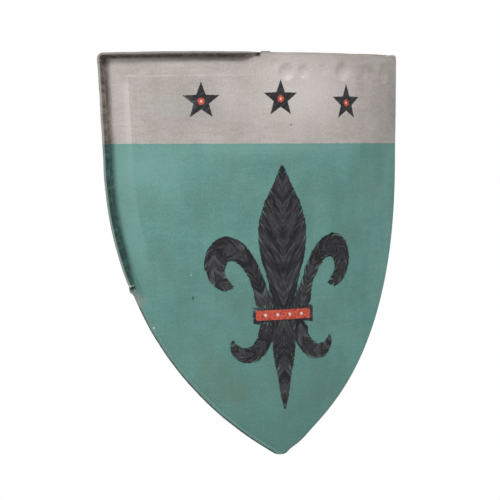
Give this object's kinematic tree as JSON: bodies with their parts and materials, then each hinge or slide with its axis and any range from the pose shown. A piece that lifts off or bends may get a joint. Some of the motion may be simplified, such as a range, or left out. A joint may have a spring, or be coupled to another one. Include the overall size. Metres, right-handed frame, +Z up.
{
  "type": "shield",
  "caption": "Heater shield of bent painted sheet steel with a wired rim, and a hand grip, buckled forearm strap, pad and neck rings behind.",
  "frame": {"origin": "where the forearm bears: on the shield's middle line, at the height of the arm, on the rear face of the arm pad", "axes": "+Z up towards the top edge, -Y towards the enemy (the painted front), +X to the right as seen from the front"},
  "size_m": [0.503, 0.1076, 0.6124],
  "materials": {
    "painted_steel": "hand-painted matt enamel, grey above and teal below, worn to the steel at the rim",
    "rim_wire": "plain steel wire",
    "welded_steel": "plain mild steel, darkened by welding",
    "strap_leather": "vegetable-tanned strap leather, rubbed edges",
    "pad_leather": "soft dark leather over felt",
    "copper": "copper, dulled",
    "buckle_plate": "nickel-plated steel, scuffed"
  },
  "bodies": {
    "shield": {"shield_skin": "painted_steel", "rim_wire_left": "rim_wire", "rim_wire_right": "rim_wire", "hand_grip": "strap_leather", "arm_strap_tongue": "strap_leather", "buckle_chape": "strap_leather", "strap_keeper": "strap_leather", "arm_pad": "pad_leather", "grip_staple_low": "welded_steel", "grip_staple_high": "welded_steel", "arm_staple_low": "welded_steel", "arm_staple_high": "welded_steel", "ring_clip_left": "welded_steel", "ring_clip_right": "welded_steel", "grip_low_left_rivet": "copper", "grip_low_left_burr": "copper", "grip_low_right_rivet": "copper", "grip_low_right_burr": "copper", "grip_high_left_rivet": "copper", "grip_high_left_burr": "copper", "grip_high_right_rivet": "copper", "grip_high_right_burr": "copper", "tongue_left_rivet": "copper", "tongue_left_burr": "copper", "tongue_right_rivet": "copper", "tongue_right_burr": "copper", "chape_staple_rivet": "copper", "chape_staple_burr": "copper", "chape_buckle_rivet": "copper", "chape_buckle_burr": "copper"},
    "neck_ring_left": {"neck_ring_left": "buckle_plate"},
    "neck_ring_right": {"neck_ring_right": "buckle_plate"},
    "buckle_frame": {"buckle_frame": "buckle_plate"},
    "buckle_roller": {"buckle_roller": "buckle_plate"},
    "buckle_prong": {"buckle_prong": "buckle_plate"}
  },
  "joints": [
    {"name": "neck_ring_left_swing", "type": "hinge", "parent": "shield", "child": "neck_ring_left", "pos_m": [-0.16153, 0.02223, 0.153], "axis": [0.9082, -0.4186, 0], "range_deg": [0, 180]},
    {"name": "neck_ring_right_swing", "type": "hinge", "parent": "shield", "child": "neck_ring_right", "pos_m": [0.16153, 0.02223, 0.153], "axis": [0.9082, 0.4186, 0], "range_deg": [0, 180]},
    {"name": "buckle_frame_swing", "type": "hinge", "parent": "shield", "child": "buckle_frame", "pos_m": [0.0736, 0.05291, 0.02152], "axis": [0.9745, 0.2243, 0], "range_deg": [-95, 90]},
    {"name": "prong_lift", "type": "hinge", "parent": "buckle_frame", "child": "buckle_prong", "pos_m": [0.0736, 0.05291, 0.02152], "axis": [0.9745, 0.2243, 0], "range_deg": [0, 95]},
    {"name": "roller_spin", "type": "hinge", "parent": "buckle_frame", "child": "buckle_roller", "pos_m": [0.0736, 0.05291, -0.00848], "axis": [0.9745, 0.2243, 0], "continuous": true}
  ]
}
